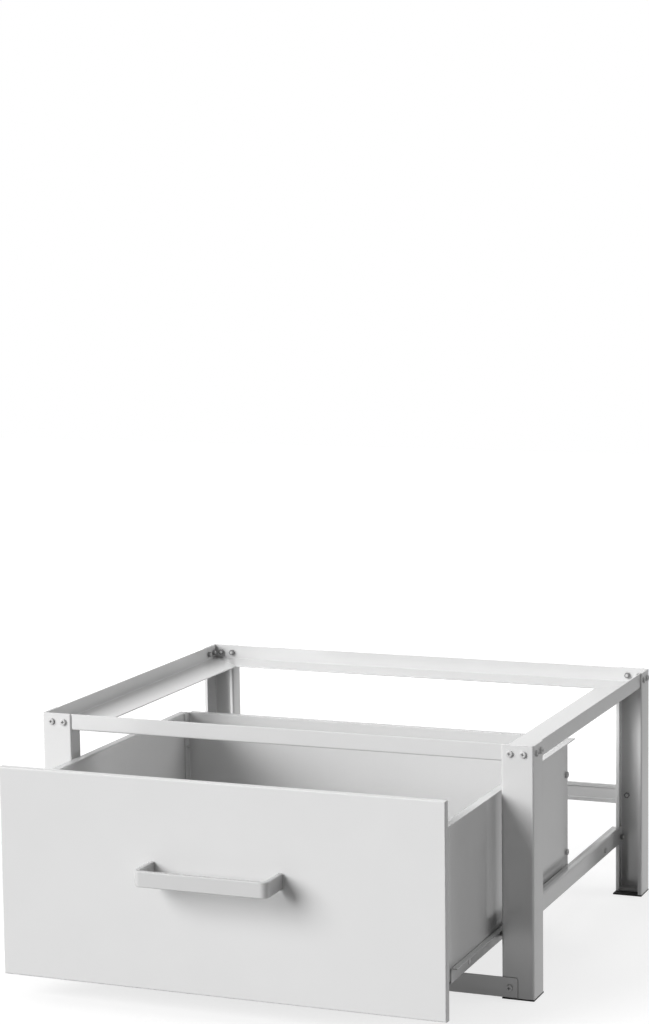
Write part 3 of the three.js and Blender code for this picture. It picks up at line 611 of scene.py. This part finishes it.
def shank_mesh(name, length):
    """The threaded shank. Its thread is a stack of rings, which at this pitch looks the same."""
    shape = bmesh.new()
    crest, root = SCREW_RADIUS, SCREW_RADIUS - THREAD_DEPTH
    rings = [(0, SHANK_TOP), (root, SHANK_TOP)]
    for step in range(int((length - NECK) / THREAD_PITCH)):
        level = THREAD_TOP - step * THREAD_PITCH
        rings += [(crest, level - THREAD_PITCH * share) for share in THREAD_CREST]
        rings.append((root, level - THREAD_PITCH * THREAD_ROOT))
    rings += [(root, -length + TIP_CHAMFER[1]), (root - TIP_CHAMFER[0], -length), (0, -length)]
    turned(shape, rings, SCREW_SIDES // 2)
    return solid_mesh(name, shape)


def nut_mesh(name, grip):
    """A hex nut from the end of the grip down, its corners chamfered by a cone at both faces."""
    top, bottom = -grip, -grip - NUT_HEIGHT
    blank, cone = bmesh.new(), bmesh.new()
    turned(blank, [(0, top), (NUT_RADIUS, top), (NUT_RADIUS, bottom), (0, bottom)], 6)
    for face in blank.faces:
        face.smooth = False
    inner, outer = NUT_RADIUS - NUT_CHAMFER[0], NUT_RADIUS + CUT_MARGIN
    turned(cone, [(0, top + CUT_MARGIN), (inner, top + CUT_MARGIN), (outer, top - NUT_CHAMFER[1]),
                  (outer, bottom + NUT_CHAMFER[1]), (inner, bottom - CUT_MARGIN),
                  (0, bottom - CUT_MARGIN)], SCREW_SIDES)
    # The whole nut takes the darker zinc: painted shade.
    for face in [*blank.faces, *cone.faces]:
        face.material_index = PAINTED_SHADE_SLOT
    return solid_mesh(name, blank, cone, "INTERSECT")


def screw_mesh(name, head_radius, head_height, length=None, grip=None):
    """A screw about Z with its head up and its seat at zero, and a nut under the grip if it has one."""
    if grip is not None:
        length = grip + NUT_HEIGHT + PAST_NUT
    parts = [head_mesh(name + "_head", head_radius, head_height), shank_mesh(name + "_shank", length)]
    if grip is not None:
        parts.append(nut_mesh(name + "_nut", grip))
    whole = bmesh.new()
    for part in parts:
        whole.from_mesh(part)
        bpy.data.meshes.remove(part)
    mesh = bpy.data.meshes.new(name)
    whole.to_mesh(mesh)
    whole.free()
    for finish in (zinc, shade_painted_zinc):
        mesh.materials.append(finish)
    mesh.shade_smooth()
    mesh.set_sharp_from_angle(angle=CREASE_ANGLE)
    return mesh


bolt = screw_mesh("machine_screw", HEAD_RADIUS, HEAD_HEIGHT, grip=FRAME_GRIP)
flat_bolt = screw_mesh("flat_machine_screw", FLAT_HEAD_RADIUS, FLAT_HEAD_HEIGHT, grip=SLIDE_GRIP)
sheet_screw = screw_mesh("sheet_screw", HEAD_RADIUS, HEAD_HEIGHT, BACK_SCREW_LENGTH)
handle_fixing = screw_mesh("handle_fixing", HEAD_RADIUS, HEAD_HEIGHT, HANDLE_SCREW_LENGTH)

screws = []
for side, inwards, outwards in (("left", TO_RIGHT, TO_LEFT), ("right", TO_LEFT, TO_RIGHT)):
    for end, away in (("front", TO_FRONT), ("rear", TO_BACK)):
        for count in (1, 2):
            screws.append((f"rim_screw_{end}_{count}_{side}", bolt, away, "frame"))
            screws.append((f"rim_side_screw_{end}_{count}_{side}", bolt, outwards, "frame"))
        screws.append((f"slide_screw_{end}_{side}", flat_bolt, inwards, "frame"))
    screws.append((f"foot_rail_screw_{side}", bolt, TO_FRONT, "frame"))
    screws.append((f"cross_rail_screw_{side}", bolt, TO_BACK, "frame"))
    for level in ("lower", "upper"):
        screws.append((f"back_screw_{level}_{side}", sheet_screw, outwards, "drawer"))
    screws.append((f"handle_screw_{side}", handle_fixing, TO_BACK, "drawer"))
# Each was driven home by hand, so the crosses stand a little differently.
for count, (cad_node, mesh, head_side, body) in enumerate(screws):
    turned_piece(cad_node, cad_node.replace("screw", "zinc_screw"), mesh, head_side, body,
                 spin=math.radians(SPIN_STEP * count % (2 * SPIN_REACH + 1) - SPIN_REACH))


# ---- Rivets and axle heads ---------------------------------------------------------------
# Low domes of the same zinc flake over the sheet's own: three rivets through each runner and
# the drawer's side, with a head outside and a tail inside, and the head of each roller's axle.

RIVET_RADIUS = 0.003
RIVET_Y = (-0.22825, -0.07425, 0.07975)
RIVET_Z = 0.06775
RIVET_HEAD_X = 0.266
RIVET_TAIL_X = 0.261
AXLE_HEAD_RADIUS = 0.0035
# Share of the dome's radius, and height above the surface that it stands on.
DOME_PROFILE = ((0, 0.0004), (0.3, 0.00038), (0.6, 0.0003), (0.85, 0.00016), (0.97, 0.00003),
                (1.0, -0.00012), (0.99, -0.0002), (0, -0.0002))

dome_shape = bmesh.new()
turned(dome_shape, DOME_PROFILE, SCREW_SIDES)
dome = solid_mesh("dome", dome_shape)
dome.set_sharp_from_angle(angle=CREASE_ANGLE)


def domed_head(name, place, up, radius, body):
    """A low dome at this place, its crown towards up."""
    head = bpy.data.objects.new(name, dome.copy())
    bpy.context.scene.collection.objects.link(head)
    head.data.transform(Matrix.Translation(place) @ Vector(up).to_track_quat("Z", "Y").to_matrix().to_4x4()
                        @ Matrix.Diagonal((radius, radius, 1, 1)))
    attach(head, body)


for side, sign, inwards, outwards in (("left", -1, TO_RIGHT, TO_LEFT), ("right", 1, TO_LEFT, TO_RIGHT)):
    for count, y in enumerate(RIVET_Y, start=1):
        domed_head(f"rivet_{count}_{side}", (sign * RIVET_HEAD_X, y, RIVET_Z), outwards,
                   RIVET_RADIUS, "drawer")
        domed_head(f"rivet_tail_{count}_{side}", (sign * RIVET_TAIL_X, y, RIVET_Z), inwards,
                   RIVET_RADIUS, "drawer")
    domed_head(f"runner_axle_{side}", face_middle(f"runner_roller_{side}", outwards), outwards,
               AXLE_HEAD_RADIUS, "drawer")
    domed_head(f"slide_axle_{side}", face_middle(f"slide_roller_{side}", inwards), inwards,
               AXLE_HEAD_RADIUS, "frame")
